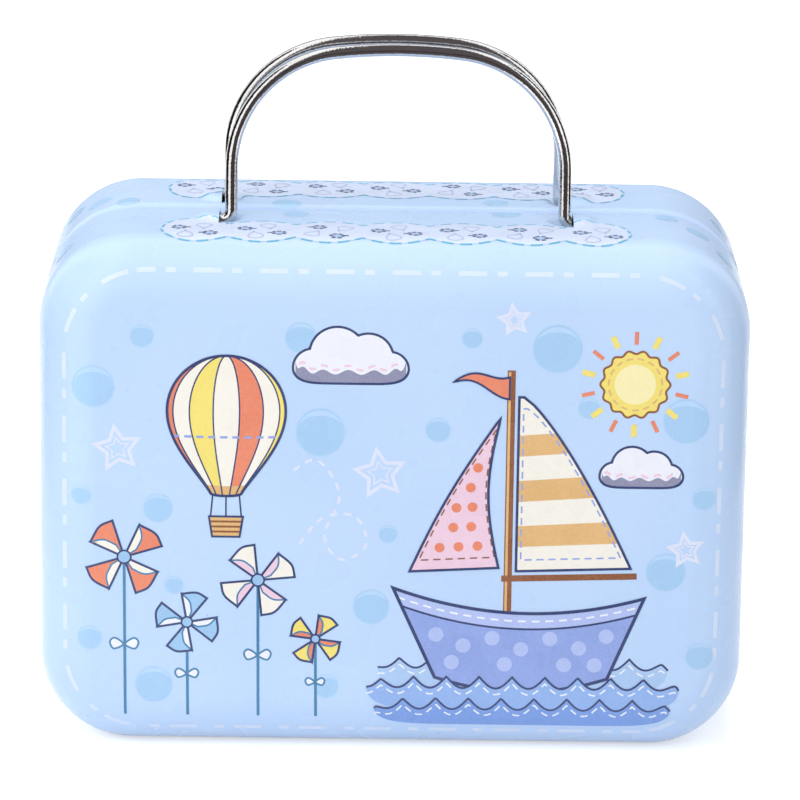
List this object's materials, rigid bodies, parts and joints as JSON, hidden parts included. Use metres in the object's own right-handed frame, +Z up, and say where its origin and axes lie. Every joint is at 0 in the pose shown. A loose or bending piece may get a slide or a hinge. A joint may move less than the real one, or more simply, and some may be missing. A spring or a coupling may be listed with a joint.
{
  "type": "tin money box",
  "caption": "Small suitcase-shaped tin case of two hinged pans with rolled rims, an inner collar and a wire bail handle on each pan, for coins and keepsakes.",
  "frame": {"origin": "under the middle of the seam, on the face the case stands on", "axes": "+X across the case, +Y from the front pan to the rear pan, +Z up to the handles"},
  "size_m": [0.088, 0.0426, 0.087],
  "materials": {
    "printed_tin": "gloss lacquer over print",
    "bare_tin": "bright tinplate",
    "pin_wire": "drawn wire",
    "chrome_wire": "bright plated"
  },
  "bodies": {
    "rear_half": {"rear_shell": "printed_tin", "closing_collar": "bare_tin", "left_hinge_pin": "pin_wire", "right_hinge_pin": "pin_wire"},
    "front_half": {"front_shell": "printed_tin"},
    "front_bail": {"front_handle": "chrome_wire"},
    "rear_bail": {"rear_handle": "chrome_wire"}
  },
  "joints": [
    {"name": "lid_hinge", "type": "hinge", "parent": "rear_half", "child": "front_half", "pos_m": [0, 0, 0.0008], "axis": [1, 0, 0], "range_deg": [0, 105]},
    {"name": "front_bail_pivot", "type": "hinge", "parent": "front_half", "child": "front_bail", "pos_m": [0, -0.0053, 0.06467], "axis": [1, 0, 0], "range_deg": [-2.8, 62]},
    {"name": "rear_bail_pivot", "type": "hinge", "parent": "rear_half", "child": "rear_bail", "pos_m": [0, 0.0053, 0.06467], "axis": [-1, 0, 0], "range_deg": [-5.5, 59.3]}
  ]
}
